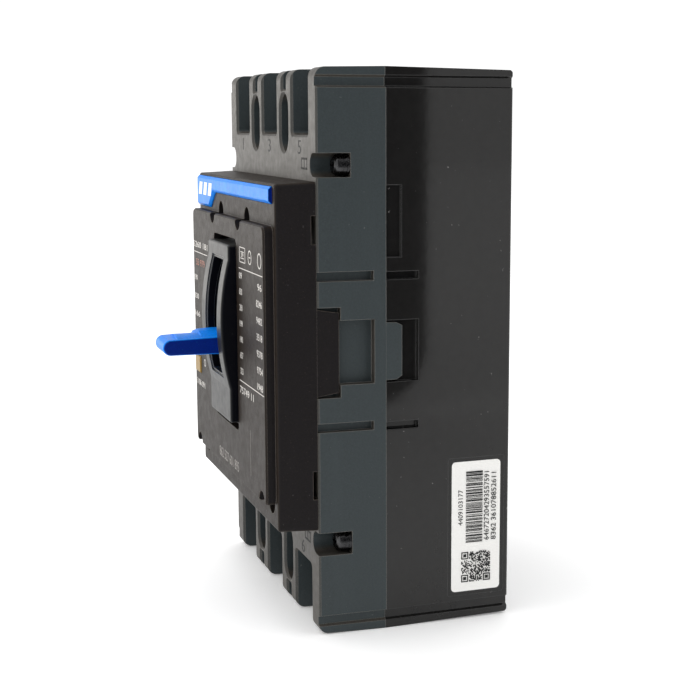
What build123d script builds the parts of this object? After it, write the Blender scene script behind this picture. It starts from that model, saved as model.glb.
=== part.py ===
from build123d import *
import os
from math import cos, radians, sin, sqrt, tan

# A three-pole molded case circuit breaker, in millimetres.
# +X is the width, -Y faces the user, +Z is the line end. The origin is the centre of the rear mounting face.
# Places inside the case are given by their depth: the distance in front of the rear face, so y = -depth.

# Overall size
WIDTH = 105.0
HEIGHT = 165.0
POLE_PITCH = 35.0
BASE_DEPTH = 39.5
COVER_DEPTH = 60.1
FRONT_DEPTH = 71.9
PLATE_DEPTH = 74.9
DRAFT = 1.0

# Grooved band round the ends of the case
BAND_START = 76.5
GROOVE_INSET = 1.6
GROOVE_END = 79.4
BEAD_INSET = 0.8
BEAD_START = 80.0

# Side label
LABEL_WIDTH = 15.8
LABEL_HEIGHT = 40.2
LABEL_DEPTH = 10.8
LABEL_Z = -53.6
LABEL_THICK = 0.15
LABEL_POCKET = 0.2

# Walls and chambers
REAR_WALL = 5.0
INNER_HALF_WIDTH = 47.4
BOSS_HALF_WIDTH = 44.3
BOSS_ZONE = 50.0
INNER_HALF_HEIGHT = 60.0
WALL_X = POLE_PITCH / 2
WALL_HALF = 1.25
COVER_ROOF = 57.1
STRAP_SHELF = 20.4
LOW_FLOOR_START = -39.0
LOW_FLOOR_END = 24.0

# Terminals
WINDOW_WIDTH = 18.0
WINDOW_START = 63.2
WINDOW_CORNER = 1.4
RIM = 0.7
STRAP_BACK = 20.5
STRAP_FRONT = 24.0
STRAP_WIDTH = 17.0
TERMINAL_Z = 72.5
TERMINAL_HOLE_R = 4.3
STRAP_END = 82.0
LINE_STRAP_INNER = 26.0
LOAD_STRAP_INNER = 34.0
NUT_FLATS = 13.0
NUT_THICK = 6.5

# Mounting holes and phase barrier slots
MOUNT_X = 17.5
MOUNT_Z = 63.0
MOUNT_HOLE_R = 2.25
MOUNT_WELL_R = 4.88
MOUNT_WELL_END = 70.4
MOUNT_LAND = 10.0
BARRIER_WIDTH = 5.0
BARRIER_CORNER = 0.4

# Cover screws
SCREW_X = 49.1
SCREW_Z = 54.9
SCREW_SEAT = 50.0
RECESS_R = 3.4

# Front cover
FRONT_HALF_X = 51.2
FRONT_TOP = 49.8
FRONT_BOTTOM = -50.3
PLATE_HALF_X = 49.0
PLATE_TOP = 37.9
PLATE_BOTTOM = -43.0
STRIP_END = 48.2
STRIP_DEPTH = 73.0
FRONT_SCREWS = [(-17.7, 38.2), (17.7, 38.2), (-43.8, -42.8), (43.8, -42.8)]

# Handle, bezel and shutter turn or curve about the handle pivot
HANDLE_PIVOT = (16.0, 5.0)
SHUTTER_R = 57.0
SHUTTER_THICK = 1.5
OFF_ANGLE = -5.3
YOKE_INNER_R = 41.8
YOKE_OUTER_R = 43.2

# Bezel: flat ends and a bulge between them
BEZEL_HALF_X = 14.2
BEZEL_TOP = 30.0
BEZEL_BOTTOM = -25.0
BEZEL_FLAT = 77.1
BULGE_TOP = 25.5
BULGE_BOTTOM = -14.5
BULGE_DEPTH = 79.7
SLOT_HALF_X = 7.4
SLOT_TOP = 25.0
SLOT_BOTTOM = -10.8
LIP_WIDTH = 0.9
LIP_DEPTH = 0.5

# Handle grip, crowned on top
GRIP_WIDTH = 14.0
GRIP_CROWN_R = 25.0
GRIP_CROWN_TOP = 1.55

# Crossbar and contacts
BAR_PIVOT = (22.0, -13.0)
BAR_R = 7.5
HUB_R = 10.5
OPEN_ANGLE = 15.0
ARM_WIDTH = 7.0
CHUTE_HALF = 8.2

# Toggle linkage: cradle pin, link lengths and the lower pin's place with the contacts closed
CRADLE_PIVOT = (46.0, 24.0)
UPPER_PIN = (52.0, 14.0)
UPPER_LENGTH = 15.0
LOWER_LENGTH = 14.926
LOWER_PIN_CLOSED = (29.0, 0.0)
PIN_R = 1.5
KNEE_CLEARANCE = 1.2
FRAME_X = 10.7
FRAME_THICK = 1.5

# Trip unit
TRIP_PIVOT = (33.0, -50.0)
TRIP_R = 4.0
BUTTON_X = -43.3
BUTTON_Z = -15.2

POLES = (-POLE_PITCH, 0.0, POLE_PITCH)
ENDS = (-1, 1)


# ---------- helpers ----------

def block(x0, x1, d0, d1, z0, z1):
    """A box between two widths, two depths and two heights."""
    size = Box(abs(x1 - x0), abs(d1 - d0), abs(z1 - z0))
    return Pos((x0 + x1) / 2, -(d0 + d1) / 2, (z0 + z1) / 2) * size


def profile(points, x0, x1):
    """A plate whose outline is given as (depth, z) points, between two widths."""
    outline = Polyline(*[(-d, z) for d, z in points], close=True)
    return Pos(x0, 0, 0) * extrude(Plane.YZ * make_face(outline), amount=x1 - x0)


def rod_x(x0, x1, centre, radius):
    """A round bar across the case."""
    return Pos((x0 + x1) / 2, -centre[0], centre[1]) * Rot(Y=90) * Cylinder(radius, abs(x1 - x0))


def rod_y(x, z, radius, d0, d1):
    """A round bar from one depth to another."""
    return Pos(x, -(d0 + d1) / 2, z) * Rot(X=90) * Cylinder(radius, abs(d1 - d0))


def rod_z(x, d, radius, z0, z1):
    """An upright round bar."""
    return Pos(x, -d, (z0 + z1) / 2) * Cylinder(radius, abs(z1 - z0))


def turn(shape, pivot, degrees):
    """Turn a shape about an axis along X. Positive carries its upper parts forward."""
    return Pos(0, -pivot[0], pivot[1]) * Rot(X=degrees) * Pos(0, pivot[0], -pivot[1]) * shape


def turned_point(point, pivot, degrees):
    """The (depth, z) place of a point after the same turn."""
    d = point[0] - pivot[0]
    z = point[1] - pivot[1]
    c = cos(radians(degrees))
    s = sin(radians(degrees))
    return (pivot[0] + d * c + z * s, pivot[1] + z * c - d * s)


def coil(radius, wire, pitch, turns):
    """A helical spring standing on z = 0."""
    path = Helix(pitch=pitch, height=pitch * turns, radius=radius)
    section = Plane(origin=path @ 0, z_dir=path % 0) * Circle(wire)
    return sweep(section, path=path, is_frenet=True)


def mirrored(shape):
    """The shape and its mirror image about the middle of the width."""
    return [shape, mirror(shape, about=Plane.YZ)]


def save(name, shapes):
    """Write one sub-part, a single solid or a group of separate solids."""
    solids = []
    for shape in shapes if isinstance(shapes, list) else [shapes]:
        solids += list(shape.solids())
    body = solids[0] if len(solids) == 1 else Compound(children=solids)
    body.label = name
    export_step(body, "parts/" + name + ".step")


# ---------- case ----------

def case_outline(depth):
    """The case's outline at a depth, with the banded ends, smaller away from the parting line."""
    inset = abs(depth - BASE_DEPTH) * tan(radians(DRAFT))
    hx = WIDTH / 2 - inset
    corner = [
        (hx, BAND_START),
        (hx - GROOVE_INSET, BAND_START + 0.5),
        (hx - GROOVE_INSET, GROOVE_END),
        (hx - BEAD_INSET, BEAD_START),
        (hx - BEAD_INSET, HEIGHT / 2 - inset),
    ]
    upper = corner + [(-x, z) for x, z in reversed(corner)]
    lower = [(-x, -z) for x, z in upper]
    return Plane.XZ.offset(depth) * make_face(Polyline(*(upper + lower), close=True))


def case_shell(d0, d1):
    """The solid outer form of the base or of the main cover."""
    return loft([case_outline(d0), case_outline(d1)], ruled=True)


def chambers(d0, d1, z0=-INNER_HALF_HEIGHT, z1=INNER_HALF_HEIGHT):
    """The three pole chambers between two depths and two heights, clear of bosses and phase walls."""
    inner = WALL_X - WALL_HALF
    space = block(-inner, inner, d0, d1, z0, z1)
    for side in ENDS:
        wall = side * (WALL_X + WALL_HALF)
        space += block(wall, side * BOSS_HALF_WIDTH, d0, d1, z0, z1)
        low = max(z0, -BOSS_ZONE)
        high = min(z1, BOSS_ZONE)
        space += block(wall, side * INNER_HALF_WIDTH, d0, d1, low, high)
        for end in ENDS:
            space -= rod_y(side * MOUNT_X, end * MOUNT_Z, MOUNT_WELL_R + 2, d0, d1)
    return space


def mounting_well(side, end):
    """One deep obround well that a mounting screw goes down."""
    x = side * MOUNT_X
    middle = end * (MOUNT_Z + MOUNT_WELL_END) / 2
    centres = MOUNT_WELL_END - MOUNT_Z

    def obround(grow):
        slot = SlotOverall(centres + 2 * (MOUNT_WELL_R + grow), 2 * (MOUNT_WELL_R + grow), rotation=90)
        return Pos(x, middle) * slot

    well = extrude(Plane.XZ.offset(MOUNT_LAND) * obround(0), amount=COVER_DEPTH + 1 - MOUNT_LAND)
    well += rimmed(obround)
    return well + rod_y(x, end * MOUNT_Z, MOUNT_HOLE_R, -1, MOUNT_LAND)


def rimmed(outline):
    """The bevel round an opening in the main cover's front face, from a function that grows its outline."""
    inner = Plane.XZ.offset(COVER_DEPTH - RIM) * outline(0)
    outer = Plane.XZ.offset(COVER_DEPTH + RIM) * outline(2 * RIM)
    return loft([inner, outer], ruled=True)


def open_ended(x, width, start, end, corner, d0):
    """A bevelled channel that runs out through one end of the case."""
    reach = HEIGHT / 2 + 10
    middle = end * (start + reach) / 2

    def outline(grow):
        sketch = RectangleRounded(width + 2 * grow, reach - start + 2 * grow, corner + grow)
        return Pos(x, middle) * sketch

    channel = extrude(Plane.XZ.offset(d0) * outline(0), amount=COVER_DEPTH + 1 - d0)
    return channel + rimmed(outline)


def end_openings():
    """Everything open at the two ends: terminal windows, mounting wells and barrier slots."""
    space = []
    for end in ENDS:
        for x in POLES:
            space.append(open_ended(x, WINDOW_WIDTH, WINDOW_START, end, WINDOW_CORNER, STRAP_SHELF))
        for side in ENDS:
            x = side * MOUNT_X
            space.append(open_ended(x, BARRIER_WIDTH, BAND_START, end, BARRIER_CORNER, REAR_WALL))
            space.append(mounting_well(side, end))
    return space


def side_cuts(boxes):
    """Recesses on both sides, each given as (inner half-width, depths, heights)."""
    cuts = []
    for inner, d0, d1, z0, z1 in boxes:
        cuts += mirrored(block(inner, WIDTH / 2 + 1, d0, d1, z0, z1))
    return cuts


def terminal_pocket(x, z):
    """The hexagonal nut pocket behind a strap, and room for the screw's end."""
    hexagon = extrude(RegularPolygon(NUT_FLATS / 2 + 0.15, 6, major_radius=False), amount=NUT_THICK + 0.2)
    pocket = Pos(x, -(STRAP_SHELF - NUT_THICK - 0.2), z) * Rot(X=90) * hexagon
    return pocket + rod_y(x, z, TERMINAL_HOLE_R + 0.3, 6, STRAP_SHELF)


def make_base():
    body = case_shell(0, BASE_DEPTH)
    rear_edges = body.edges().filter_by(lambda e: abs(e.center().Y) < 0.01 and e.length > 60)
    body = fillet(rear_edges, 1.0)
    body -= chambers(REAR_WALL, BASE_DEPTH + 1, LOW_FLOOR_START, LOW_FLOOR_END)
    body -= chambers(STRAP_SHELF, BASE_DEPTH + 1)
    body -= end_openings()
    for end in ENDS:
        for x in POLES:
            notch = STRAP_WIDTH / 2 + 0.2
            body -= block(x - notch, x + notch, STRAP_SHELF, BASE_DEPTH + 1, end * 59, end * 64)
            body -= terminal_pocket(x, end * TERMINAL_Z)
        for side in ENDS:
            body -= rod_y(side * SCREW_X, end * SCREW_Z, 2.6, 18, BASE_DEPTH + 1)
    for pivot, radius in ((BAR_PIVOT, BAR_R + 0.06), (TRIP_PIVOT, TRIP_R + 0.06)):
        for side in ENDS:
            x0 = side * (WALL_X - 2)
            x1 = side * (WALL_X + 2)
            body -= rod_x(x0, x1, pivot, radius)
            body -= block(x0, x1, pivot[0], BASE_DEPTH + 1, pivot[1] - radius, pivot[1] + radius)
    body -= side_cuts([
        (50.2, 29.5, BASE_DEPTH + 1, -7.8, 10.3),
        (50.3, 29.5, BASE_DEPTH + 1, 22.1, 24.4),
        (50.3, 29.5, BASE_DEPTH + 1, -21.9, -19.6),
        (51.3, 34.8, BASE_DEPTH + 1, 28.5, 49.2),
    ])
    for x in POLES:
        for z0 in (-52, -24, 4, 32):
            body -= block(x - 12, x + 12, -1, 1.5, z0, z0 + 20)
    return body - on_base_side(1.2, 0.6, -LABEL_POCKET, 1)


def front_plane_edges(body):
    """The two long front edges at the ends of the main cover."""
    high = HEIGHT / 2 - 2
    return body.edges().filter_by(
        lambda e: abs(e.center().Y + COVER_DEPTH) < 0.01 and abs(e.center().Z) > high and e.length > 60
    )


def make_main_cover():
    body = case_shell(BASE_DEPTH, COVER_DEPTH)
    body = fillet(front_plane_edges(body), 3.0)
    sides = body.edges().filter_by(
        lambda e: abs(e.center().Y + COVER_DEPTH) < 0.01 and abs(e.center().X) > 51 and e.length > 100
    )
    body = chamfer(sides, 0.5)
    room = chambers(BASE_DEPTH - 1, COVER_ROOF)
    for side in ENDS:
        room -= block(side * 19, side * 50, 51, COVER_ROOF + 1, -32, 32)
        for x, z in FRONT_SCREWS:
            room -= rod_y(x, z, 3.5, 48, COVER_ROOF + 1)
    body -= room
    body -= end_openings()
    body -= block(-16, 16, COVER_ROOF - 2, COVER_DEPTH + 1, -43, 48)
    for side in ENDS:
        body -= block(side * 21, side * 47, 53, COVER_DEPTH + 1, -30, 30)
        for end in ENDS:
            x = side * SCREW_X
            z = end * SCREW_Z
            body -= rod_y(x, z, RECESS_R, SCREW_SEAT, COVER_DEPTH + 1)
            body -= block(x, side * (WIDTH / 2 + 1), SCREW_SEAT, COVER_DEPTH + 1, z - RECESS_R, z + RECESS_R)
            body -= rod_y(x, z, 2.15, BASE_DEPTH - 1, SCREW_SEAT + 1)
    for x, z in FRONT_SCREWS:
        body -= rod_y(x, z, 1.25, 50, COVER_DEPTH + 1)
    body -= block(BUTTON_X - 2.2, BUTTON_X + 2.2, 50, 54, BUTTON_Z - 2, BUTTON_Z + 2)
    body -= side_cuts([
        (50.3, 43.3, COVER_DEPTH + 1, 22.1, 24.8),
        (50.3, 43.3, COVER_DEPTH + 1, -21.6, -19.0),
        (49.4, 43.0, 53.4, -7.9, 10.8),
        (49.4, 53.2, COVER_DEPTH + 1, -11.6, 14.6),
    ])
    return body + cover_tongues()


def cover_tongues():
    """Tongues that reach back from the main cover over the base and down into its strap notches."""
    outline = [(40, -7.2), (40, 9.8), (36.3, 9.6), (34.6, 8.7), (34.6, -6.0), (36.3, -7.1)]
    parts = mirrored(profile(outline, 50.4, WIDTH / 2 - 0.05))
    for end in ENDS:
        for x in POLES:
            half = STRAP_WIDTH / 2
            parts.append(block(x - half, x + half, STRAP_FRONT + 0.2, BASE_DEPTH + 1, end * 60.2, end * 63.0))
    return parts


def front_outline(depth, spread):
    """The front cover's outline at a depth."""
    width = 2 * (FRONT_HALF_X + spread)
    height = FRONT_TOP - FRONT_BOTTOM + 2 * spread
    centre = (FRONT_TOP + FRONT_BOTTOM) / 2
    return Plane.XZ.offset(depth) * (Pos(0, centre) * RectangleRounded(width, height, 1.2))


def make_front_cover():
    body = loft([front_outline(COVER_DEPTH, 0.5), front_outline(FRONT_DEPTH, 0)], ruled=True)
    rim = body.faces().sort_by(Axis.Y)[0].edges()
    body = fillet(rim, 0.8)
    width = 2 * PLATE_HALF_X
    centre = (PLATE_TOP + PLATE_BOTTOM) / 2
    plate = Pos(0, centre) * RectangleRounded(width, PLATE_TOP - PLATE_BOTTOM, 2.5)
    plate = extrude(Plane.XZ.offset(FRONT_DEPTH - 1) * plate, amount=PLATE_DEPTH - FRONT_DEPTH + 1)
    plate = chamfer(plate.faces().sort_by(Axis.Y)[0].edges(), 0.5)
    body += plate
    body -= block(-48.8, 48.8, COVER_DEPTH - 1, 69.5, -48.0, 47.5)
    body -= block(-36, 36, 69, 72.4, -40, 35)
    for x, z in FRONT_SCREWS:
        body += rod_y(x, z, 5.4, COVER_DEPTH, 69.6)
        body -= rod_y(x, z, 3.5, 65, PLATE_DEPTH + 1)
        body -= rod_y(x, z, 1.7, COVER_DEPTH - 1, 66)
    body -= bezel_opening()
    body -= block(-20.5, 20.5, COVER_DEPTH - 1, 62.5, -30.5, 36.5)
    body -= block(BUTTON_X - 4.05, BUTTON_X + 4.05, 68, PLATE_DEPTH + 1, BUTTON_Z - 3.05, BUTTON_Z + 3.05)
    body -= strip_outline(0.15, 71.1, FRONT_DEPTH + 1)
    for z0, z1 in ((32.7, 40.8), (-41.3, -33.0)):
        body -= mirrored(block(47, 53, COVER_DEPTH - 1, 61.5, z0, z1))
    tongue = profile([(61, -11.3), (61, 14.2), (53.5, 13.0), (53.5, -10.2)], 49.6, FRONT_HALF_X + 0.45)
    return body + mirrored(tongue)


def bezel_opening():
    """The hole in the front cover that the bezel stands through."""
    top = BEZEL_TOP + 1.9
    bottom = BEZEL_BOTTOM - 2.2
    hole = Pos(0, (top + bottom) / 2) * RectangleRounded(2 * BEZEL_HALF_X + 2.8, top - bottom, 1.6)
    return extrude(Plane.XZ.offset(COVER_DEPTH - 1) * hole, amount=PLATE_DEPTH + 2 - COVER_DEPTH)


def strip_outline(grow, d0, d1):
    """The colour strip's form: a band with a tab at its left end."""
    points = [
        (-50.0 - grow, 39.0 - grow),
        (-31.9, 39.0 - grow),
        (-25.0, 44.2 - grow),
        (STRIP_END + grow, 44.2 - grow),
        (STRIP_END + grow, 49.0 + grow),
        (-50.0 - grow, 49.0 + grow),
    ]
    face = Plane.XZ.offset(d0) * make_face(Polyline(*points, close=True))
    return extrude(face, amount=d1 - d0)


def make_colour_strip():
    """The strip, bevelled all round but cut square at its right end."""
    strip = strip_outline(0, 71.1, STRIP_DEPTH)
    edges = strip.faces().sort_by(Axis.Y)[0].edges()
    return chamfer(edges.filter_by(lambda e: e.center().X < STRIP_END - 0.1), 0.8)


def bezel_side(cut=0.0):
    """The bezel's side outline: flat ends with a bulge between them, or the same form set further back."""
    flat = -(BEZEL_FLAT - cut)
    bulge = -(BULGE_DEPTH - cut)
    root = -COVER_DEPTH
    middle = (BULGE_TOP + BULGE_BOTTOM) / 2
    front = ThreePointArc((flat, BULGE_BOTTOM), (bulge, middle), (flat, BULGE_TOP))
    rest = Polyline(
        (flat, BULGE_TOP), (flat, BEZEL_TOP), (root, BEZEL_TOP),
        (root, BEZEL_BOTTOM), (flat, BEZEL_BOTTOM), (flat, BULGE_BOTTOM),
    )
    return make_face([*front.edges(), *rest.edges()])


def bezel_form(half_x, cut=0.0):
    """The bezel's outer form between two sides."""
    return Pos(-half_x, 0, 0) * extrude(Plane.YZ * bezel_side(cut), amount=2 * half_x)


def make_bezel():
    """The curved frame round the handle, with two rails that lie under the front cover."""
    body = bezel_form(BEZEL_HALF_X)
    corners = body.edges().filter_by(Axis.Y).filter_by(lambda e: abs(e.center().X) > BEZEL_HALF_X - 0.1)
    body = fillet(corners, 1.2)
    body = fillet(body.edges().filter_by(lambda e: e.center().Y < 0.2 - BEZEL_FLAT and e.length > 0.5), 0.7)
    body += block(-19.5, 19.5, COVER_DEPTH, 61.9, -29.5, 35.5)
    inner = HANDLE_PIVOT[0] + SHUTTER_R + 4
    body -= rod_x(-12.2, 12.2, HANDLE_PIVOT, SHUTTER_R + 4) & block(-13, 13, 50, inner, -23, 28)
    body -= rod_x(-13, 13, HANDLE_PIVOT, SHUTTER_R + SHUTTER_THICK + 0.8)
    body -= block(-SLOT_HALF_X, SLOT_HALF_X, 70, 82, SLOT_BOTTOM, SLOT_TOP)
    lip_x = SLOT_HALF_X + LIP_WIDTH
    lip = block(-lip_x, lip_x, 70, 82, SLOT_BOTTOM - LIP_WIDTH, SLOT_TOP + LIP_WIDTH)
    return body - (lip - bezel_form(lip_x + 1, LIP_DEPTH))


def on_base_side(grow, corner, low, high):
    """The side label's form, or its pocket's, between two distances out from the drafted side."""
    face_x = WIDTH / 2 - (BASE_DEPTH - LABEL_DEPTH) * tan(radians(DRAFT))
    form = Plane.YZ.offset(low) * RectangleRounded(LABEL_WIDTH + 2 * grow, LABEL_HEIGHT + 2 * grow, corner)
    return Pos(face_x, -LABEL_DEPTH, LABEL_Z) * Rot(Z=DRAFT) * extrude(form, amount=high - low)


def make_side_label():
    """A thin label lying in its shallow pocket on the drafted side of the base."""
    return on_base_side(0, 1.2, -LABEL_POCKET, LABEL_THICK - LABEL_POCKET)


# ---------- fasteners ----------

def cross_recess(size, depth):
    """A cross cut into a screw head, centred on the origin."""
    bar = Box(size, size * 0.2, depth)
    return bar + Rot(Z=90) * bar


def pan_screw(head_r, head_h, shank_r, length):
    """A screw whose head sits on z = 0 with its shank below."""
    head = fillet(Cylinder(head_r, head_h).faces().sort_by(Axis.Z)[-1].edges(), head_h * 0.45)
    head = Pos(0, 0, head_h / 2) * head
    head -= Pos(0, 0, head_h) * cross_recess(head_r * 1.3, head_h * 1.1)
    shank = Pos(0, 0, -length / 2) * Cylinder(shank_r, length)
    point = chamfer(shank.faces().sort_by(Axis.Z)[0].edges(), shank_r * 0.3)
    return head + point


def facing_front(shape, x, depth, z):
    """Place a shape made along +Z so that it points to the front."""
    return Pos(x, -depth, z) * Rot(X=90) * shape


def ring(outer, inner, thick):
    return Pos(0, 0, thick / 2) * (Cylinder(outer, thick) - Cylinder(inner, thick))


def screw_places():
    return [(side * SCREW_X, end * SCREW_Z) for side in ENDS for end in ENDS]


def make_cover_screws():
    screw = pan_screw(3.0, 2.6, 2.0, 30)
    return [facing_front(screw, x, SCREW_SEAT + 1.9, z) for x, z in screw_places()]


def make_flat_washers():
    return [facing_front(ring(3.25, 2.1, 0.8), x, SCREW_SEAT, z) for x, z in screw_places()]


def make_spring_washers():
    washer = ring(3.1, 2.1, 1.1)
    washer -= Rot(Z=40) * Pos(2.6, 0, 0.55) * Rot(X=20) * Box(2.4, 0.5, 3)
    return [facing_front(washer, x, SCREW_SEAT + 0.8, z) for x, z in screw_places()]


def make_cover_inserts():
    insert = ring(2.55, 2.0, 14)
    return [facing_front(insert, x, 22, z) for x, z in screw_places()]


def make_front_cover_screws():
    screw = pan_screw(2.9, 2.0, 1.2, 12)
    return [facing_front(screw, x, 65, z) for x, z in FRONT_SCREWS]


def make_terminal_nuts():
    nut = extrude(RegularPolygon(NUT_FLATS / 2, 6, major_radius=False), amount=NUT_THICK)
    nut -= Pos(0, 0, NUT_THICK / 2) * Cylinder(4.0, NUT_THICK + 1)
    depth = STRAP_SHELF - NUT_THICK
    return [facing_front(nut, x, depth, end * TERMINAL_Z) for x in POLES for end in ENDS]


# ---------- current path ----------

def strap(x, end, inner):
    """A flat copper strap from one end of the case inwards, with its terminal hole."""
    half = STRAP_WIDTH / 2
    body = block(x - half, x + half, STRAP_BACK, STRAP_FRONT, end * inner, end * STRAP_END)
    tips = body.edges().filter_by(Axis.Y).filter_by(lambda e: abs(e.center().Z) > STRAP_END - 1)
    body = chamfer(tips, 1.5)
    return body - rod_y(x, end * TERMINAL_Z, TERMINAL_HOLE_R, STRAP_BACK - 1, STRAP_FRONT + 1)


def make_line_terminal(x):
    return strap(x, 1, LINE_STRAP_INNER)


def make_load_terminal(x):
    return strap(x, -1, LOAD_STRAP_INNER)


def make_heaters():
    """The heater legs, which stand up from the load straps beside the bimetals."""
    return [block(x - 6, x + 6, STRAP_FRONT, 42, -39, -36) for x in POLES]


def make_fixed_contacts():
    return [block(x - 4, x + 4, STRAP_FRONT, STRAP_FRONT + 2, 29, 36) for x in POLES]


def open_pose(shape):
    """Carry a crossbar piece from contacts closed to contacts open."""
    return turn(shape, BAR_PIVOT, OPEN_ANGLE)


def arm_blank(x, grow=0.0):
    """One contact arm with the contacts closed."""
    outline = [
        (28 - grow, 36.5 + grow),
        (33.5 + grow, 36.5 + grow),
        (33.5 + grow, 6),
        (28, -16),
        (22 + grow, -25.5),
        (17 - grow, -24.5),
        (18.5 - grow, -8),
        (28 - grow, 12),
    ]
    half = ARM_WIDTH / 2 + grow
    return profile(outline, x - half, x + half)


def make_contact_arms():
    arms = []
    for x in POLES:
        arm = arm_blank(x) - rod_x(x - 9, x + 9, BAR_PIVOT, 2.0)
        if x == 0:
            arm -= rod_x(-9, 9, LOWER_PIN_CLOSED, PIN_R)
        arms.append(open_pose(arm))
    return arms


def make_moving_contacts():
    return [open_pose(block(x - 4, x + 4, STRAP_FRONT + 2, 28, 29, 36)) for x in POLES]


def make_arm_pins():
    return [rod_x(x - 5.5, x + 5.5, BAR_PIVOT, 2.0) for x in POLES]


def make_crossbar():
    """The moulded shaft, with a slotted hub at each pole."""
    bar = rod_x(-44, 44, BAR_PIVOT, BAR_R)
    for x in POLES:
        bar += rod_x(x - 6.5, x + 6.5, BAR_PIVOT, HUB_R)
    for x in POLES:
        bar -= open_pose(arm_blank(x, 0.1))
        bar -= rod_x(x - 5.5, x + 5.5, BAR_PIVOT, 2.0)
    return bar


def make_braids():
    """The flexible copper link from each arm's tail round to its load strap."""
    centre = (18.0, -31.5)
    braids = []
    for x in POLES:
        half_ring = rod_x(x - 4, x + 4, centre, 6.2) - rod_x(x - 4, x + 4, centre, 4.4)
        half_ring -= block(x - 5, x + 5, centre[0], 40, -40, -20)
        foot = block(x - 4, x + 4, centre[0], STRAP_BACK, centre[1] - 6.2, centre[1] - 4.4)
        braids.append(half_ring + foot)
    return braids


# ---------- arc chutes ----------

def make_arc_chute_walls():
    walls = []
    for x in POLES:
        for side in ENDS:
            walls.append(block(x + side * CHUTE_HALF, x + side * (CHUTE_HALF + 0.8), 27, 53.5, 37, 55.5))
    return walls


def make_deion_plates():
    plates = []
    notch = [(-3.5, 37), (3.5, 37), (0, 46)]
    for x in POLES:
        for index in range(8):
            depth = 29 + 3.1 * index
            plate = block(x - CHUTE_HALF, x + CHUTE_HALF, depth, depth + 1.2, 37.5, 55.0)
            cut = extrude(Plane.XZ.offset(depth - 1) * make_face(Polyline(*notch, close=True)), amount=4)
            plates.append(plate - Pos(x, 0, 0) * cut)
    return plates


# ---------- mechanism ----------

def make_side_frames():
    outline = [(5.1, -24), (48, -24), (48, -12), (40, -2), (46, 17), (52, 20), (52, 28), (42, 30), (5.1, 16)]
    plate = profile(outline, FRAME_X, FRAME_X + FRAME_THICK)
    plate -= rod_x(0, 20, BAR_PIVOT, BAR_R + 0.05)
    plate -= block(0, 20, 5, BAR_PIVOT[0], BAR_PIVOT[1] - BAR_R - 0.05, BAR_PIVOT[1] + BAR_R + 0.05)
    plate -= rod_x(0, 20, HANDLE_PIVOT, 2.0)
    plate -= rod_x(0, 20, CRADLE_PIVOT, PIN_R)
    return mirrored(plate)


def make_frame_pins():
    """The stub pins that the cradle and the handle yoke turn on."""
    return mirrored(rod_x(5.3, 12.2, CRADLE_PIVOT, PIN_R)) + mirrored(rod_x(FRAME_X, 15.4, HANDLE_PIVOT, 2.0))


def make_cradle():
    """Two plates that carry the upper links' pin, joined at the tip that the latch holds."""
    outline = [
        (43.5, 22), (48, 21), (49.5, 10), (50.2, 0), (50.2, -8), (48, -16), (48, -23),
        (51, -23), (52.5, -15), (53.5, -8), (54.5, 8), (54.5, 16), (48, 27), (43.5, 26.5),
    ]
    body = profile(outline, 5.7, 7.0) + profile(outline, -7.0, -5.7)
    body += block(-7, 7, 48, 51, -23, -19)
    return body - rod_x(-10, 10, CRADLE_PIVOT, PIN_R + 0.05) + rod_x(-7, 7, UPPER_PIN, PIN_R)


def knee_place():
    """Where the two links meet with the contacts open."""
    lower_pin = turned_point(LOWER_PIN_CLOSED, BAR_PIVOT, OPEN_ANGLE)
    dd = lower_pin[0] - UPPER_PIN[0]
    dz = lower_pin[1] - UPPER_PIN[1]
    span = sqrt(dd * dd + dz * dz)
    along = (UPPER_LENGTH ** 2 - LOWER_LENGTH ** 2 + span ** 2) / (2 * span)
    across = sqrt(UPPER_LENGTH ** 2 - along ** 2)
    ud = dd / span
    uz = dz / span
    return (UPPER_PIN[0] + along * ud - across * uz, UPPER_PIN[1] + along * uz + across * ud)


def link(start, end, x0, x1, start_r, end_r):
    """A flat link with a round eye at each end, given its two hole radii."""
    dd = end[0] - start[0]
    dz = end[1] - start[1]
    span = sqrt(dd * dd + dz * dz)
    nd = -dz / span * 2.6
    nz = dd / span * 2.6
    outline = [
        (start[0] + nd, start[1] + nz), (start[0] - nd, start[1] - nz),
        (end[0] - nd, end[1] - nz), (end[0] + nd, end[1] + nz),
    ]
    body = profile(outline, x0, x1) + rod_x(x0, x1, start, 2.6) + rod_x(x0, x1, end, end_r + 1.1)
    return body - rod_x(x0 - 1, x1 + 1, start, start_r) - rod_x(x0 - 1, x1 + 1, end, end_r)


def make_upper_links():
    knee = knee_place()
    return mirrored(link(UPPER_PIN, knee, 3.6, 4.5, PIN_R + 0.05, PIN_R))


def make_knee_pin():
    return rod_x(-10.2, 10.2, knee_place(), PIN_R)


def make_lower_links():
    lower_pin = turned_point(LOWER_PIN_CLOSED, BAR_PIVOT, OPEN_ANGLE)
    return mirrored(link(lower_pin, knee_place(), 4.7, 5.5, PIN_R + 0.05, PIN_R + KNEE_CLEARANCE))


def make_lower_pin():
    lower_pin = turned_point(LOWER_PIN_CLOSED, BAR_PIVOT, OPEN_ANGLE)
    return rod_x(-5.7, 5.7, lower_pin, PIN_R)


def from_pivot(points):
    """Points measured from the handle's pivot, as (depth, z) points."""
    return [(HANDLE_PIVOT[0] + d, HANDLE_PIVOT[1] + z) for d, z in points]


def at_off(shape):
    """Turn a handle piece from straight out to the OFF position."""
    return turn(shape, HANDLE_PIVOT, -OFF_ANGLE)


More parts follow.
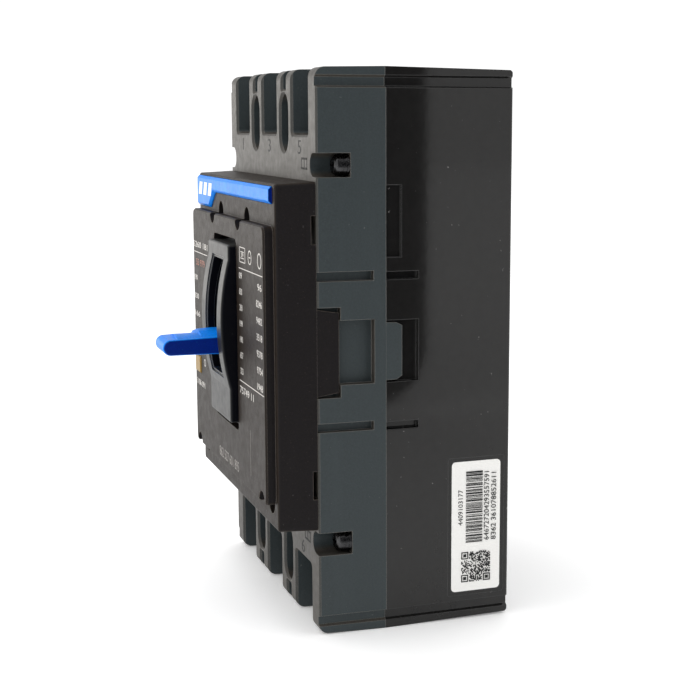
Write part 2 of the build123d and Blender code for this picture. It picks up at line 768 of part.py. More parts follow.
def make_handle_yoke():
    outline = [(-4, -4), (4, -5), (YOKE_OUTER_R, -5), (YOKE_OUTER_R, 5), (4, 5), (-4, 4)]
    leg = profile(from_pivot(outline), 13.2, 14.8)
    leg -= rod_x(10, 20, HANDLE_PIVOT, 2.05)
    top = [(YOKE_INNER_R, -5), (YOKE_OUTER_R, -5), (YOKE_OUTER_R, 5), (YOKE_INNER_R, 5)]
    bridge = profile(from_pivot(top), -14.8, 14.8)
    yoke = leg + mirror(leg, about=Plane.YZ) + bridge
    return at_off(yoke)


def make_handle():
    """The toggle handle: a foot on the yoke, and a grip with a round tip and a shoulder above it."""
    outline = [(YOKE_OUTER_R, -3.2), (YOKE_OUTER_R, 3.2), (60, 3.2), (60, -3.2)]
    foot = at_off(profile(from_pivot(outline), -6.5, 6.5))
    half = GRIP_WIDTH / 2
    grip = profile([(75.2, -4.3), (93.7, -4.2), (93.7, 0.7), (80, 1.1), (75.2, 1.3)], -half, half)
    grip += rod_x(-half, half, (93.7, -1.75), 2.45)
    sides = grip.edges().filter_by(lambda e: abs(abs(e.center().X) - half) < 0.01 and e.center().Y < -82)
    crown = rod_y(0, GRIP_CROWN_TOP - GRIP_CROWN_R, GRIP_CROWN_R, 75.2, 91.5)
    crown &= block(1 - half, half - 1, 75, 92, 0.2, 3)
    shoulder = profile([(75.2, 0), (84.9, 0), (84.4, 1.5), (83, 2), (80, 2.2), (75.2, 2.3)], -half, 0)
    slope = Polyline((0, 0, 2.4), (5.5, 0, 0.9), (0, 0, 0.9), close=True)
    shoulder += extrude(make_face(slope), amount=84.2, dir=(0, -1, 0)) & block(0, half, 75.2, 83.8, 0, 3)
    return foot + fillet(sides, 0.7) + crown + shoulder


def make_arc_shutter():
    """The curved shutter that keeps the bezel's slot closed as the handle moves."""
    outer = rod_x(-11, 11, HANDLE_PIVOT, SHUTTER_R + SHUTTER_THICK)
    shell = outer - rod_x(-12, 12, HANDLE_PIVOT, SHUTTER_R)
    reach = 90
    wedge = [(0, 0)]
    for angle in (-35, -5, 25):
        wedge.append((reach * cos(radians(angle)), reach * sin(radians(angle))))
    shell &= profile(from_pivot(wedge), -11, 11)
    hole = at_off(profile(from_pivot([(50, -3.3), (50, 3.3), (66, 3.3), (66, -3.3)]), -6.6, 6.6))
    return shell - hole


def make_main_springs():
    """The pair of toggle springs between the knee pin and the yoke's bridge."""
    knee = knee_place()
    bridge = turned_point((HANDLE_PIVOT[0] + YOKE_INNER_R, HANDLE_PIVOT[1]), HANDLE_PIVOT, -OFF_ANGLE)
    gap = bridge[0] - knee[0] - PIN_R - 2.4
    turns = 6
    spring = coil(1.3, 0.3, gap / turns, turns)
    return mirrored(Pos(8.85, -(knee[0] + PIN_R + 1.3), knee[1]) * Rot(X=90) * spring)


# ---------- trip unit ----------

def make_trip_bar():
    """The bar across all poles, with a finger at each trip unit and a lever under the button."""
    bar = rod_x(-43.8, 43.8, TRIP_PIVOT, TRIP_R)
    finger = [(34, -53), (34, -47), (40, -46.6), (46, -44.6), (51.6, -44.6), (51.6, -46.6), (44, -49)]
    for x in POLES:
        bar += profile(finger, x - 3, x + 3)
    lever = [(34, -53.5), (34, -47), (45.4, -45), (47, -46.5), (46.4, -47.4)]
    bar += profile(lever, -43.8, -41.2)
    return bar - make_latch()


def make_latch():
    """The steel hook that holds the cradle's tip."""
    outline = [
        (31, -52), (31, -48), (38, -47), (53, -46.8), (53, -30),
        (51.5, -27), (51.5, -22.5), (55.2, -22.5), (55.2, -50.5),
    ]
    return profile(outline, 4.6, 6.8)


def make_bimetals():
    strips = []
    for x in POLES:
        strip = block(x - 4, x + 4, STRAP_FRONT, 48, -40.2, -39)
        strips.append(strip - rod_z(x, 46, 1.2, -45, -35))
    return strips


def make_calibration_screws():
    screws = []
    for x in POLES:
        screw = rod_z(x, 46, 1.2, -42.4, -38) + rod_z(x, 46, 2.0, -38.9, -37.4)
        screws.append(screw - block(x - 2.5, x + 2.5, 45.8, 46.2, -38, -37))
    return screws


def make_magnet_yokes():
    """The U of iron round each heater, with ears that carry the armature."""
    yokes = []
    cheek = [
        (27, -44.4), (39.4, -44.4), (39.4, -36.6), (30.5, -36.6),
        (30.5, -31), (26.5, -31), (26.5, -37),
    ]
    for x in POLES:
        body = block(x - 10.6, x + 10.6, 27, 39.4, -44.4, -43)
        for side in ENDS:
            body += profile(cheek, x + side * 9.4, x + side * 10.6)
        yokes.append(body - rod_x(x - 12, x + 12, (28.5, -33), 1.05))
    return yokes


def make_armature(x):
    """The plate that is pulled towards its magnet, with a finger over the trip bar."""
    body = block(x - 9.1, x + 9.1, 28.5, 39.4, -33.8, -32.4)
    body += block(x - 3, x + 3, 39, 51.2, -33.8, -32.4)
    body += block(x - 3, x + 3, 49.9, 51.2, -42.2, -33)
    return body + rod_x(x - 10.6, x + 10.6, (28.5, -33), 1.0)


def make_push_to_trip_button():
    """The button, its stem and the foot whose slanted end bears on the trip bar's lever."""
    head = block(BUTTON_X - 3.75, BUTTON_X + 3.75, 67, 75.4, BUTTON_Z - 2.75, BUTTON_Z + 2.75)
    head = chamfer(head.faces().sort_by(Axis.Y)[0].edges(), 0.3)
    flange = block(BUTTON_X - 4.7, BUTTON_X + 4.7, 66, 67.7, BUTTON_Z - 3.9, BUTTON_Z + 3.9)
    stem = block(BUTTON_X - 1.4, BUTTON_X + 1.4, 44, 67, BUTTON_Z - 1.5, BUTTON_Z + 1.5)
    foot = profile([(43, BUTTON_Z + 1.5), (48, BUTTON_Z + 1.5), (48, -44.6), (43, -41.5)], -43.7, -41.9)
    return head + flange + stem + foot


def make_button_spring():
    spring = coil(2.7, 0.3, 2.0, 6)
    return Pos(BUTTON_X, -53.4, BUTTON_Z) * Rot(X=90) * spring


# ---------- all sub-parts ----------

os.makedirs("parts", exist_ok=True)

save("base", make_base())
save("main_cover", make_main_cover())
save("front_cover", make_front_cover())
save("colour_strip", make_colour_strip())
save("handle_bezel", make_bezel())
save("side_label", make_side_label())
save("cover_screws", make_cover_screws())
save("flat_washers", make_flat_washers())
save("spring_washers", make_spring_washers())
save("cover_inserts", make_cover_inserts())
save("front_cover_screws", make_front_cover_screws())
save("terminal_nuts", make_terminal_nuts())
for letter, pole_x in zip("abc", POLES):
    save("line_terminal_" + letter, make_line_terminal(pole_x))
    save("load_terminal_" + letter, make_load_terminal(pole_x))
    save("armature_" + letter, make_armature(pole_x))
save("heaters", make_heaters())
save("fixed_contacts", make_fixed_contacts())
save("contact_arms", make_contact_arms())
save("moving_contacts", make_moving_contacts())
save("arm_pins", make_arm_pins())
save("crossbar", make_crossbar())
save("braids", make_braids())
save("arc_chute_walls", make_arc_chute_walls())
save("deion_plates", make_deion_plates())
save("side_frames", make_side_frames())
save("frame_pins", make_frame_pins())
save("cradle", make_cradle())
save("upper_links", make_upper_links())
save("knee_pin", make_knee_pin())
save("lower_links", make_lower_links())
save("lower_pin", make_lower_pin())
save("handle_yoke", make_handle_yoke())
save("handle", make_handle())
save("arc_shutter", make_arc_shutter())
save("main_springs", make_main_springs())
save("trip_bar", make_trip_bar())
save("latch", make_latch())
save("bimetals", make_bimetals())
save("calibration_screws", make_calibration_screws())
save("magnet_yokes", make_magnet_yokes())
save("push_to_trip_button", make_push_to_trip_button())
save("button_spring", make_button_spring())
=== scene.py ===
import bpy
import math
import random
from mathutils import Matrix, Vector


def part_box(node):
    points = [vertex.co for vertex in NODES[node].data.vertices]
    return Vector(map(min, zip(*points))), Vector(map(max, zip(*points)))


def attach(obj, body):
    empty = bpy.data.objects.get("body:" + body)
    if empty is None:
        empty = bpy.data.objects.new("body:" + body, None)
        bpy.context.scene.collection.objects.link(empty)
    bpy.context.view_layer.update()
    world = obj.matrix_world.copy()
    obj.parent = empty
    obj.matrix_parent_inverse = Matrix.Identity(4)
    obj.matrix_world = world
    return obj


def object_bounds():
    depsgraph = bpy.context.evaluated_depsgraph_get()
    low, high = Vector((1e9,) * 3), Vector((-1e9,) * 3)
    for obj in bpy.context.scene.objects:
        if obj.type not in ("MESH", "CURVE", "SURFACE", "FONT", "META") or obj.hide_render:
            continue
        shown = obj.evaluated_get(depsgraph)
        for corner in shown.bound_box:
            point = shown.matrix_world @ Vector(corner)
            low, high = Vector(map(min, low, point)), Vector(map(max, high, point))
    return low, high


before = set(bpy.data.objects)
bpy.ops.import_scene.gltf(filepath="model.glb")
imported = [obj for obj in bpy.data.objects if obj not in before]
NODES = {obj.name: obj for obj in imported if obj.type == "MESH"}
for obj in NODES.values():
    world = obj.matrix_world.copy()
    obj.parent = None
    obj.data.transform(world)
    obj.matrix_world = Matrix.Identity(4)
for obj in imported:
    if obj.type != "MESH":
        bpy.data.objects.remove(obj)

CAD_BOX = [list(corner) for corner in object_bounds()]
MM = 0.001

# Looks shared by the plastics
EDGE_ROUNDING = 0.35 * MM
BEVEL_SAMPLES = 6
DUST = (0.42, 0.41, 0.4)

# Planes that carry prints, and the thickness of the ink
PLATE_Y = -74.9 * MM
COVER_Y = -60.1 * MM
INK = 0.03 * MM
FRONT_FACE = Matrix(((1, 0, 0), (0, 0, -1), (0, 1, 0)))
RIGHT_FACE = Matrix(((0, 0, 1), (1, 0, 0), (0, 1, 0)))
POLE_X = (-35, 0, 35)


# ---------- node helpers ----------

def new_material(name):
    """An empty node material with its shader, and the object-space coordinates that its patterns use."""
    mat = bpy.data.materials.new(name)
    mat.use_nodes = True
    tree = mat.node_tree
    shader = tree.nodes["Principled BSDF"]
    coords = tree.nodes.new("ShaderNodeTexCoord").outputs["Object"]
    return mat, tree, shader, coords


def stretched(tree, coords, scale):
    """The coordinates scaled differently along each axis, for brushed or streaked patterns."""
    mapping = tree.nodes.new("ShaderNodeMapping")
    mapping.inputs["Scale"].default_value = scale
    tree.links.new(coords, mapping.inputs["Vector"])
    return mapping.outputs["Vector"]


def noise(tree, coords, per_metre, detail=3.0, rough=0.5):
    """Noise with this many features to the metre."""
    node = tree.nodes.new("ShaderNodeTexNoise")
    node.inputs["Scale"].default_value = per_metre
    node.inputs["Detail"].default_value = detail
    node.inputs["Roughness"].default_value = rough
    tree.links.new(coords, node.inputs["Vector"])
    return node.outputs["Fac"]


def ranged(tree, source, low, high, to_low, to_high):
    """The source mapped from one range to another, and held to it."""
    node = tree.nodes.new("ShaderNodeMapRange")
    values = {"From Min": low, "From Max": high, "To Min": to_low, "To Max": to_high}
    for socket, value in values.items():
        node.inputs[socket].default_value = value
    tree.links.new(source, node.inputs["Value"])
    return node.outputs["Result"]


def blended(tree, factor, first, second):
    """A colour between two, each a colour or a socket."""
    node = tree.nodes.new("ShaderNodeMix")
    node.data_type = "RGBA"
    tree.links.new(factor, node.inputs["Factor"])
    for socket, value in ((node.inputs[6], first), (node.inputs[7], second)):
        if isinstance(value, (tuple, list)):
            socket.default_value = (*value, 1.0)
        else:
            tree.links.new(value, socket)
    return node.outputs[2]


def painted_side_shade_mask(tree):
    """1 on faces that look left or right in the object's own frame, 0 on the others: where the painted side
    shade goes.
    """
    normal = tree.nodes.new("ShaderNodeTexCoord").outputs["Normal"]
    split = tree.nodes.new("ShaderNodeSeparateXYZ")
    tree.links.new(normal, split.inputs[0])
    size = tree.nodes.new("ShaderNodeMath")
    size.operation = "ABSOLUTE"
    tree.links.new(split.outputs["X"], size.inputs[0])
    return ranged(tree, size.outputs["Value"], 0.6, 0.9, 0.0, 1.0)


def product(tree, first, second):
    """Two values multiplied."""
    node = tree.nodes.new("ShaderNodeMath")
    node.operation = "MULTIPLY"
    tree.links.new(first, node.inputs[0])
    tree.links.new(second, node.inputs[1])
    return node.outputs["Value"]


def rounded_normal(tree, radius):
    """The normal as if sharp edges were rounded to this radius."""
    node = tree.nodes.new("ShaderNodeBevel")
    node.samples = BEVEL_SAMPLES
    node.inputs["Radius"].default_value = radius
    return node.outputs["Normal"]


def edge_highlight_mask(tree, rounded):
    """1 on sharp edges, 0 on flat faces: where the painted highlights along edges go."""
    flat = tree.nodes.new("ShaderNodeNewGeometry").outputs["Normal"]
    dot = tree.nodes.new("ShaderNodeVectorMath")
    dot.operation = "DOT_PRODUCT"
    tree.links.new(flat, dot.inputs[0])
    tree.links.new(rounded, dot.inputs[1])
    return ranged(tree, dot.outputs["Value"], 0.98, 0.8, 0.0, 1.0)


def bumped(tree, shader, height, distance, base_normal=None):
    """Relief of this many metres on the shader, over the given normal if there is one."""
    node = tree.nodes.new("ShaderNodeBump")
    node.inputs["Distance"].default_value = distance
    tree.links.new(height, node.inputs["Height"])
    if base_normal is not None:
        tree.links.new(base_normal, node.inputs["Normal"])
    tree.links.new(node.outputs["Normal"], shader.inputs["Normal"])


# ---------- materials ----------

def moulded(name, front, side, rough, grain, relief, specular=0.5, specks=0.0, painted_glint=0.0, painted_edge_highlight=None):
    """Moulded plastic with painted light and shade: a darker side colour on the faces that look left or
    right and a lighter front colour on the rest.

    It has fine grain in colour and relief, uneven gloss and slow upright streaks. Specks are pale dust,
    sparkle is painted highlight flecks in the colour, and edge is a painted highlight, a paler colour along
    sharp edges. Relief is in millimetres.
    """
    mat, tree, shader, coords = new_material(name)
    # painted shade: faces that look left or right get the darker side colour
    side_shade = painted_side_shade_mask(tree)
    fine = noise(tree, coords, grain * 0.7, 3.0, 0.7)
    streaks = noise(tree, stretched(tree, coords, (1, 1, 0.12)), 260, 3.0, 0.6)
    # lit and shaded copies of one plastic: the side colour is painted shade, the front colour painted light
    body = blended(tree, side_shade, front, side)
    darker = blended(tree, side_shade, [0.72 * c for c in front], [0.85 * c for c in side])
    shade = blended(tree, ranged(tree, fine, 0.38, 0.62, 0.0, 1.0), darker, body)
    lighter = blended(tree, side_shade, [1.15 * c for c in front], [1.05 * c for c in side])
    shade = blended(tree, ranged(tree, streaks, 0.5, 0.75, 0.0, 0.5), shade, lighter)
    if specks > 0:
        dust = noise(tree, coords, 900, 2.0, 0.4)
        patch = noise(tree, coords, 60, 2.0, 0.5)
        bright = ranged(tree, dust, 0.74, 0.79, 0.0, 1.0)
        seen = product(tree, bright, ranged(tree, patch, 0.45, 0.6, 0.0, specks))
        shade = blended(tree, seen, shade, DUST)
    # painted highlight: bright flecks painted into the colour
    if painted_glint > 0:
        painted_glint_mask = ranged(tree, noise(tree, coords, 3400, 2.0, 0.5), 0.7, 0.78, 0.0, painted_glint)
        shade = blended(tree, painted_glint_mask, shade, [min(1.0, 4 * c) for c in front])
    rounded = rounded_normal(tree, EDGE_ROUNDING)
    # painted highlight: a paler colour painted along sharp edges
    if painted_edge_highlight is not None:
        shade = blended(tree, edge_highlight_mask(tree, rounded), shade, painted_edge_highlight)
    tree.links.new(shade, shader.inputs["Base Color"])
    wear = noise(tree, coords, 420, 4.0, 0.6)
    tree.links.new(ranged(tree, wear, 0.3, 0.75, rough[0], rough[1]), shader.inputs["Roughness"])
    shader.inputs["Specular IOR Level"].default_value = specular
    bumped(tree, shader, noise(tree, coords, grain, 3.0, 0.6), relief * MM, rounded)
    return mat


def metal(name, colour, darker, rough, stretch=(1, 1, 1), grain=900, relief=0.006):
    """Bare or plated metal with drawn or tumbled grain and slight tarnish. Relief is in millimetres."""
    mat, tree, shader, coords = new_material(name)
    lay = stretched(tree, coords, stretch)
    tarnish = noise(tree, coords, 140, 4.0, 0.6)
    shade = blended(tree, ranged(tree, tarnish, 0.35, 0.75, 0.0, 1.0), colour, darker)
    tree.links.new(shade, shader.inputs["Base Color"])
    shader.inputs["Metallic"].default_value = 1.0
    grain_height = noise(tree, lay, grain, 4.0, 0.6)
    tree.links.new(ranged(tree, grain_height, 0.3, 0.7, rough[0], rough[1]), shader.inputs["Roughness"])
    bumped(tree, shader, grain_height, relief * MM)
    return mat


def printed(name, colour, rough=0.5):
    """Ink or foil: slightly uneven cover."""
    mat, tree, shader, coords = new_material(name)
    cover = noise(tree, coords, 1500, 3.0, 0.6)
    dull = [0.8 * c for c in colour]
    shade = blended(tree, ranged(tree, cover, 0.35, 0.65, 0.0, 1.0), dull, colour)
    tree.links.new(shade, shader.inputs["Base Color"])
    tree.links.new(ranged(tree, cover, 0.3, 0.7, rough - 0.1, rough + 0.1), shader.inputs["Roughness"])
    shader.inputs["Specular IOR Level"].default_value = 0.12
    return mat


def paper_label():
    """Coated paper with faint fibres and a slight ripple."""
    mat, tree, shader, coords = new_material("label_paper")
    fibres = noise(tree, stretched(tree, coords, (1, 1, 3)), 1400, 4.0, 0.6)
    shade = blended(tree, ranged(tree, fibres, 0.3, 0.7, 0.0, 1.0), (0.88, 0.87, 0.84), (0.95, 0.94, 0.91))
    tree.links.new(shade, shader.inputs["Base Color"])
    tree.links.new(ranged(tree, fibres, 0.3, 0.7, 0.38, 0.52), shader.inputs["Roughness"])
    bumped(tree, shader, noise(tree, coords, 90, 2.0, 0.5), 0.03 * MM)
    return mat


# In the moulded materials the first colour is the lit front and the second the darker side: that difference
# is painted light and shade, and the cool tint of the cover and bezel side colours is painted reflection.
# The paler colours along sharp edges and the sparkle flecks are painted highlights.
MATERIALS = {
    "base": moulded(
        "base_plastic", (0.013, 0.0125, 0.012), (0.0125, 0.012, 0.0115), (0.045, 0.08),
        grain=500, relief=0.004, specular=0.36, specks=0.55, painted_edge_highlight=(0.05, 0.05, 0.05),
    ),
    "cover": moulded(
        "cover_plastic", (0.06, 0.054, 0.046), (0.036, 0.046, 0.049), (0.42, 0.56),
        grain=2400, relief=0.03, specular=0.28, specks=0.15, painted_glint=0.25, painted_edge_highlight=(0.2, 0.195, 0.18),
    ),
    "front": moulded(
        "front_plastic", (0.022, 0.016, 0.0122), (0.0125, 0.0108, 0.0112), (0.42, 0.55),
        grain=2000, relief=0.06, specular=0.09, specks=0.1, painted_glint=0.8, painted_edge_highlight=(0.17, 0.15, 0.13),
    ),
    "bezel": moulded(
        "bezel_plastic", (0.028, 0.028, 0.027), (0.0006, 0.0008, 0.003), (0.32, 0.42),
        grain=2400, relief=0.012, specular=0.13, specks=0.1, painted_glint=0.2, painted_edge_highlight=(0.24, 0.25, 0.26),
    ),
    "shutter": moulded(
        "shutter_plastic", (0.004, 0.0045, 0.007), (0.004, 0.0045, 0.007), (0.4, 0.5),
        grain=2000, relief=0.01,
    ),
    "blue": moulded(
        "blue_plastic", (0.002, 0.24, 0.92), (0.0003, 0.016, 0.2), (0.32, 0.42),
        grain=2400, relief=0.01, specular=0.08, painted_glint=0.2, painted_edge_highlight=(0.02, 0.3, 0.97),
    ),
    "yellow": moulded(
        "yellow_plastic", (0.34, 0.22, 0.07), (0.3, 0.19, 0.05), (0.35, 0.45),
        grain=2400, relief=0.008, specular=0.12,
    ),
    "shaft": moulded(
        "shaft_plastic", (0.06, 0.038, 0.026), (0.045, 0.03, 0.022), (0.5, 0.65), grain=1800, relief=0.03,
    ),
    "fibre": moulded(
        "chute_fibre", (0.4, 0.19, 0.11), (0.34, 0.15, 0.09), (0.6, 0.75), grain=1500, relief=0.04,
    ),
    "black_screw": metal(
        "black_screw", (0.07, 0.07, 0.072), (0.015, 0.015, 0.016), (0.15, 0.4), grain=1500, relief=0.03,
    ),
    "plated": metal("plated_steel", (0.62, 0.62, 0.6), (0.5, 0.5, 0.47), (0.3, 0.45), (1, 1, 8)),
    "spring": metal("spring_steel", (0.5, 0.5, 0.5), (0.36, 0.36, 0.36), (0.25, 0.4)),
    "copper": metal("copper", (0.83, 0.42, 0.27), (0.66, 0.3, 0.18), (0.28, 0.42), (8, 1, 1)),
    "silver": metal("silver_contact", (0.82, 0.81, 0.78), (0.7, 0.68, 0.64), (0.35, 0.5)),
    "brass": metal("brass", (0.78, 0.6, 0.28), (0.65, 0.48, 0.2), (0.25, 0.4)),
    "iron": metal("plated_iron", (0.46, 0.46, 0.47), (0.36, 0.36, 0.37), (0.35, 0.5)),
    "bimetal": metal("bimetal", (0.56, 0.53, 0.47), (0.44, 0.41, 0.36), (0.35, 0.45), (1, 8, 1)),
    "label": paper_label(),
    "white_ink": printed("white_ink", (0.72, 0.69, 0.65)),
    "grey_ink": printed("grey_ink", (0.3, 0.28, 0.26)),
    "red_ink": printed("red_ink", (0.4, 0.16, 0.11)),
    "black_ink": printed("black_ink", (0.006, 0.006, 0.006)),
    "label_ink": printed("label_ink", (0.03, 0.03, 0.03)),
    "bright": printed("bright_ink", (0.86, 0.9, 0.95), 0.35),
}

TERMINALS = [end + "_terminal_" + pole for end in ("line", "load") for pole in "abc"]
NODE_MATERIALS = {
    "base": ["base"],
    "cover": ["main_cover"],
    "front": ["front_cover"],
    "bezel": ["handle_bezel"],
    "shutter": ["arc_shutter"],
    "blue": ["colour_strip", "handle"],
    "yellow": ["push_to_trip_button"],
    "label": ["side_label"],
    "black_screw": ["cover_screws", "spring_washers", "flat_washers", "front_cover_screws"],
    "plated": [
        "terminal_nuts", "side_frames", "frame_pins", "cradle", "upper_links", "knee_pin",
        "lower_links", "lower_pin", "handle_yoke", "latch", "arm_pins", "calibration_screws",
    ],
    "copper": ["contact_arms", "braids", "heaters"] + TERMINALS,
    "silver": ["fixed_contacts", "moving_contacts"],
    "brass": ["cover_inserts"],
    "iron": ["magnet_yokes", "deion_plates", "armature_a", "armature_b", "armature_c"],
    "bimetal": ["bimetals"],
    "shaft": ["crossbar", "trip_bar"],
    "fibre": ["arc_chute_walls"],
    "spring": ["main_springs", "button_spring"],
}


def paint_nodes():
    """Gives every CAD node its material."""
    for key, names in NODE_MATERIALS.items():
        for name in names:
            node = NODES[name]
            node.data.materials.clear()
            node.data.materials.append(MATERIALS[key])


paint_nodes()


# ---------- prints ----------

class Sheet:
    """Marks in millimetres, u across and v up, made into one thin piece of ink."""

    def __init__(self):
        self.verts = []
        self.faces = []

    def prism(self, outline):
        """A thin prism from a convex outline given anticlockwise."""
        count = len(outline)
        start = len(self.verts)
        self.verts += [(u, v, 0.0) for u, v in outline]
        self.verts += [(u, v, INK / MM) for u, v in outline]
        self.faces.append([start + i for i in reversed(range(count))])
        self.faces.append([start + count + i for i in range(count)])
        for i in range(count):
            j = (i + 1) % count
            self.faces.append([start + i, start + j, start + count + j, start + count + i])

    def bar(self, u0, u1, v0, v1):
        self.prism([(u0, v0), (u1, v0), (u1, v1), (u0, v1)])

    def arc(self, u, v, radius, width, start=0.0, end=360.0, steps=28):
        """A ring, or part of one, as short chords."""
        for i in range(steps):
            a = math.radians(start + (end - start) * i / steps)
            b = math.radians(start + (end - start) * (i + 1) / steps)
            inner, outer = radius - width / 2, radius + width / 2
            self.prism([
                (u + outer * math.cos(a), v + outer * math.sin(a)),
                (u + outer * math.cos(b), v + outer * math.sin(b)),
                (u + inner * math.cos(b), v + inner * math.sin(b)),
                (u + inner * math.cos(a), v + inner * math.sin(a)),
            ])

    def text(self, words, u0, u1, v0, v1, upright=True):
        """Words fitted into a box, read across, or up the page if they aren't upright."""
        data = bpy.data.curves.new("words", "FONT")
        data.body = words
        data.extrude = INK / MM / 2
        data.resolution_u = 3
        holder = bpy.data.objects.new("words", data)
        bpy.context.scene.collection.objects.link(holder)
        mesh = holder.to_mesh()
        places = [tuple(v.co) for v in mesh.vertices]
        low = [min(p[i] for p in places) for i in (0, 1)]
        high = [max(p[i] for p in places) for i in (0, 1)]
        start = len(self.verts)
        for x, y, z in places:
            along = (x - low[0]) / (high[0] - low[0])
            across = (y - low[1]) / (high[1] - low[1])
            if not upright:
                along, across = 1 - across, along
            self.verts.append((u0 + along * (u1 - u0), v0 + across * (v1 - v0), z + INK / MM / 2))
        self.faces += [[start + i for i in face.vertices] for face in mesh.polygons]
        holder.to_mesh_clear()
        bpy.data.objects.remove(holder)
        bpy.data.curves.remove(data)

    def place(self, name, turn, origin, material, body="case"):
        """The sheet as an object, with its u and v axes turned on to a face through origin."""
        mesh = bpy.data.meshes.new(name)
        mesh.from_pydata([turn @ (Vector(p) * MM) + Vector(origin) for p in self.verts], [], self.faces)
        mesh.materials.append(MATERIALS[material])
        piece = bpy.data.objects.new(name, mesh)
        bpy.context.scene.collection.objects.link(piece)
        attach(piece, body)


def digits(rng, count):
    """Random digits that mean nothing."""
    return "".join(rng.choice("0123456789") for _ in range(count))


def print_plate(rng):
    """The markings on the face plate: rows of digits, plain marks and the on and off symbols."""
    face = (0, PLATE_Y, 0)
    white = Sheet()
    white.text(digits(rng, 4) + " " + digits(rng, 3), -48.6, -26.0, 24.9, 26.9)
    white.bar(-48.6, -26.4, 23.15, 23.4)
    for u0, u1, v0 in ((-48.0, -43.0, 13.6), (-48.0, -41.5, 7.2), (-48.0, -40.0, 1.2)):
        white.text(digits(rng, 3), u0, u1, v0, v0 + 1.8)
    white.arc(-33.5, -13.6, 1.1, 0.35)
    white.text(digits(rng, 5) + " " + digits(rng, 3), -48.6, -34.0, -22.6, -20.6)
    white.bar(19.0, 48.0, 23.55, 23.8)
    white.bar(18.0, 48.0, -10.85, -10.6)
    square = (
        (20.0, 27.4, 25.5, 25.75), (20.0, 27.4, 29.9, 30.15),
        (20.0, 20.4, 25.5, 30.15), (27.0, 27.4, 25.5, 30.15),
    )
    for edges in square:
        white.bar(*edges)
    white.bar(21.6, 25.8, 26.7, 26.95)
    white.bar(21.6, 25.8, 28.6, 28.85)
    white.text(digits(rng, 2), 22.2, 25.2, 27.2, 28.4)
    white.arc(33.0, 27.8, 1.95, 0.35)
    white.bar(32.0, 34.0, 27.65, 27.95)
    white.arc(44.6, 27.8, 2.1, 0.4)
    for row in range(7):
        top = 22.4 - 4.85 * row
        white.text(digits(rng, 2 if row == 0 else 3), 19.2, 22.8, top - 1.9, top)
        white.text(digits(rng, 2 if row == 0 else 4), 40.2 if row else 42.0, 46.8, top - 3.2, top - 1.2)
    white.text(digits(rng, 5) + " " + digits(rng, 2), 18.2, 35.4, -14.6, -12.4)
    white.place("plate_print", FRONT_FACE, face, "white_ink")
    faint = Sheet()
    faint.text(" ".join(digits(rng, 3) for _ in range(4)), -12.6, 14.6, -40.6, -37.4)
    faint.bar(30.5, 30.7, -38.0, -24.0)
    faint.place("plate_small_print", FRONT_FACE, face, "grey_ink")
    red = Sheet()
    red.text(digits(rng, 2) + " " + digits(rng, 3), -44.6, -31.0, 18.8, 21.0)
    red.place("plate_red_print", FRONT_FACE, face, "red_ink")
    black = Sheet()
    black.bar(-24.6, -19.2, 16.3, 17.6)
    black.bar(-24.6, -23.4, 14.6, 19.4)
    black.bar(-20.4, -19.2, 14.6, 19.4)
    black.place("plate_on_mark", FRONT_FACE, face, "black_ink")


def print_cover():
    """The terminal numbers on the main cover, beside each window, and a plain mark near two corners."""
    marks = Sheet()
    for end in (1, -1):
        for i, x in enumerate(POLE_X):
            number = str(2 * i + (1 if end > 0 else 2))
            middle = 59.7 * end
            half = 0.5 if number == "1" else 1.7
            marks.text(number, x - half, x + half, middle - 2.0, middle + 2.0)
        low, high = sorted((53.4 * end, 56.8 * end))
        marks.bar(37.0, 43.0, low, low + 0.6)
        marks.bar(37.0, 43.0, high - 0.6, high)
        marks.bar(37.0, 37.6, low, high)
        marks.bar(42.4, 43.0, low, high)
        marks.bar(39.7, 40.3, low, high)
    marks.place("terminal_numbers", FRONT_FACE, (0, COVER_Y, 0), "black_ink")


def print_strip():
    """Three plain pale slanted bars at the left end of the colour strip."""
    low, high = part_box("colour_strip")
    mark = Sheet()
    bottom = high[2] / MM - 6.2
    top = high[2] / MM - 2.0
    width, slant, pitch = 4.6, 1.8, 7.2
    for i in range(3):
        left = low[0] / MM + 3.0 + pitch * i
        right = left + width
        mark.prism([(left, bottom), (right, bottom), (right + slant, top), (left + slant, top)])
    mark.place("strip_mark", FRONT_FACE, (0, low[1], 0), "bright")


def print_label(rng):
    """Bars, a square of random cells and rows of random digits on the side label."""
    low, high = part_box("side_label")
    ink = Sheet()
    v = -58.6
    while v < -36.4:
        width = rng.choice((0.16, 0.16, 0.22, 0.32, 0.5))
        ink.bar(-14.1, -8.7, v, min(v + width, -36.1))
        v += width + rng.choice((0.16, 0.22, 0.3, 0.42))
    cells = 29
    size = 9.4 / cells
    left, bottom = -15.5, -70.9
    eyes = ((0, 0), (0, 22), (22, 0))
    for i in range(cells):
        for j in range(cells):
            in_eye = any(a - 1 <= i <= a + 7 and b - 1 <= j <= b + 7 for a, b in eyes)
            if not in_eye and rng.random() < 0.5:
                u, w = left + i * size, bottom + j * size
                ink.bar(u, u + size, w, w + size)
    for a, b in eyes:
        u, w = left + a * size, bottom + b * size
        far_u, far_w = u + 7 * size, w + 7 * size
        ink.bar(u, far_u, w, w + size)
        ink.bar(u, far_u, far_w - size, far_w)
        ink.bar(u, u + size, w + size, far_w - size)
        ink.bar(far_u - size, far_u, w + size, far_w - size)
        ink.bar(u + 2 * size, far_u - 2 * size, w + 2 * size, far_w - 2 * size)
    ink.text(digits(rng, 10), -16.6, -15.1, -53.1, -42.1, upright=False)
    ink.text(digits(rng, 18), -8.2, -6.6, -58.3, -37.0, upright=False)
    ink.text(digits(rng, 4) + " " + digits(rng, 12), -5.9, -4.3, -58.3, -37.4, upright=False)
    ink.place("label_print", RIGHT_FACE, (high[0], 0, 0), "label_ink")


marks_rng = random.Random(7)
print_plate(marks_rng)
print_cover()
print_strip()
print_label(marks_rng)


# ---------- stage ----------

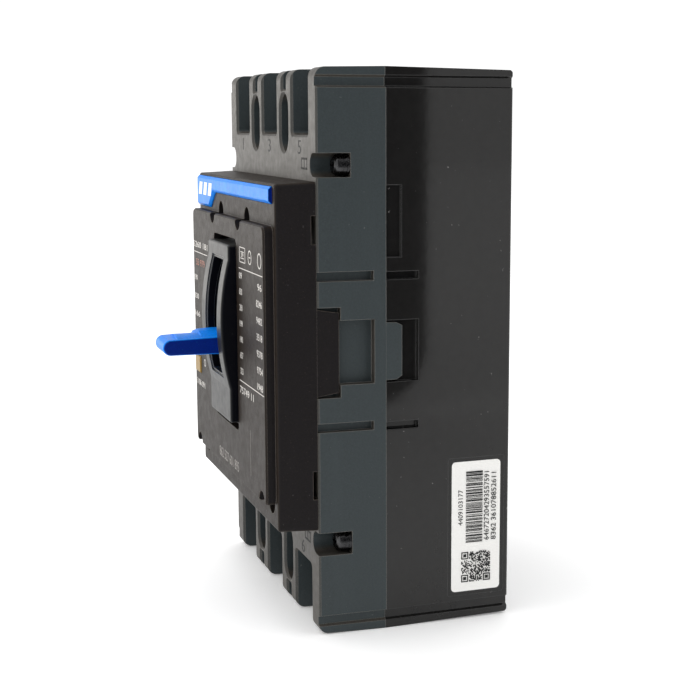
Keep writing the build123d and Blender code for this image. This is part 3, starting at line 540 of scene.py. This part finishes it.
def make_floor():
    """A pale floor that gives off a little light, so that it meets the white background unseen."""
    bpy.ops.mesh.primitive_plane_add(size=8, location=(0, 0, CAD_BOX[0][2]))
    floor = bpy.context.object
    floor.name = "floor"
    mat, tree, shader, coords = new_material("pale_floor")
    tone = noise(tree, coords, 3, 2.0, 0.5)
    shade = blended(tree, tone, (0.965, 0.965, 0.965), (0.975, 0.975, 0.975))
    tree.links.new(shade, shader.inputs["Base Color"])
    shader.inputs["Roughness"].default_value = 0.6
    shader.inputs["Emission Color"].default_value = (1, 1, 1, 1)
    shader.inputs["Emission Strength"].default_value = 0.2
    floor.data.materials.append(mat)


def make_gloss_card():
    """A dark card on the right, unseen by the camera, which the glossy side of the base reflects."""
    card_x, corner, steps = 0.36, 0.03, 8
    y0, y1, z0, z1 = -0.1, 0.1, CAD_BOX[0][2] + 0.004, 0.5
    outline = [(y0, z0), (y1 - corner, z0)]
    for i in range(1, steps + 1):
        a = math.radians(90 * i / steps)
        outline.append((y1 - corner + corner * math.sin(a), z0 + corner - corner * math.cos(a)))
    outline += [(y1, z1), (y0, z1)]
    mesh = bpy.data.meshes.new("gloss_card")
    mesh.from_pydata([(card_x, y, z) for y, z in outline], [], [list(range(len(outline)))])
    card = bpy.data.objects.new("gloss_card", mesh)
    bpy.context.scene.collection.objects.link(card)
    mat, tree, shader, coords = new_material("dark_card")
    tone = noise(tree, coords, 8, 2.0, 0.5)
    shade = blended(tree, tone, (0.004, 0.006, 0.012), (0.008, 0.011, 0.02))
    tree.links.new(shade, shader.inputs["Base Color"])
    shader.inputs["Roughness"].default_value = 0.9
    mesh.materials.append(mat)
    card.visible_camera = False


def make_world():
    """An even white studio."""
    world = bpy.data.worlds.new("studio")
    world.use_nodes = True
    world.node_tree.nodes["Background"].inputs["Color"].default_value = (1, 1, 1, 1)
    world.node_tree.nodes["Background"].inputs["Strength"].default_value = 1.1
    bpy.context.scene.world = world


def area_light(name, place, target, size, watts, colour=(1, 1, 1)):
    """A soft box aimed at the target, unseen by the camera."""
    data = bpy.data.lights.new(name, "AREA")
    data.shape = "RECTANGLE"
    data.size = size[0]
    data.size_y = size[1]
    data.energy = watts
    data.color = colour
    light = bpy.data.objects.new(name, data)
    light.location = place
    light.rotation_mode = "QUATERNION"
    light.rotation_quaternion = (Vector(target) - Vector(place)).to_track_quat("-Z", "Y")
    light.visible_camera = False
    bpy.context.scene.collection.objects.link(light)


def make_camera():
    """A camera on the right and a little above, turned towards the front."""
    data = bpy.data.cameras.new("camera")
    data.sensor_width = 36
    data.lens = 75.16
    data.shift_x = -0.0666
    data.shift_y = 0.0022
    data.clip_start = 0.01
    camera = bpy.data.objects.new("camera", data)
    bpy.context.scene.collection.objects.link(camera)
    camera.location = (0.44817, -0.17456, 0.06695)
    camera.rotation_mode = "QUATERNION"
    look = Vector((-0.9326, 0.3258, -0.1553)).to_track_quat("-Z", "Y")
    camera.rotation_quaternion = look
    bpy.context.scene.camera = camera


make_floor()
make_gloss_card()
make_world()
area_light("front_box", (-1.1, -0.75, 0.0), (0, -0.07, 0), (0.9, 0.5), 3, (1.0, 0.96, 0.9))
area_light("top_box", (-0.1, -0.5, 1.2), (0, -0.05, 0), (0.6, 0.6), 4)
make_camera()
bpy.context.scene.view_settings.view_transform = "Standard"
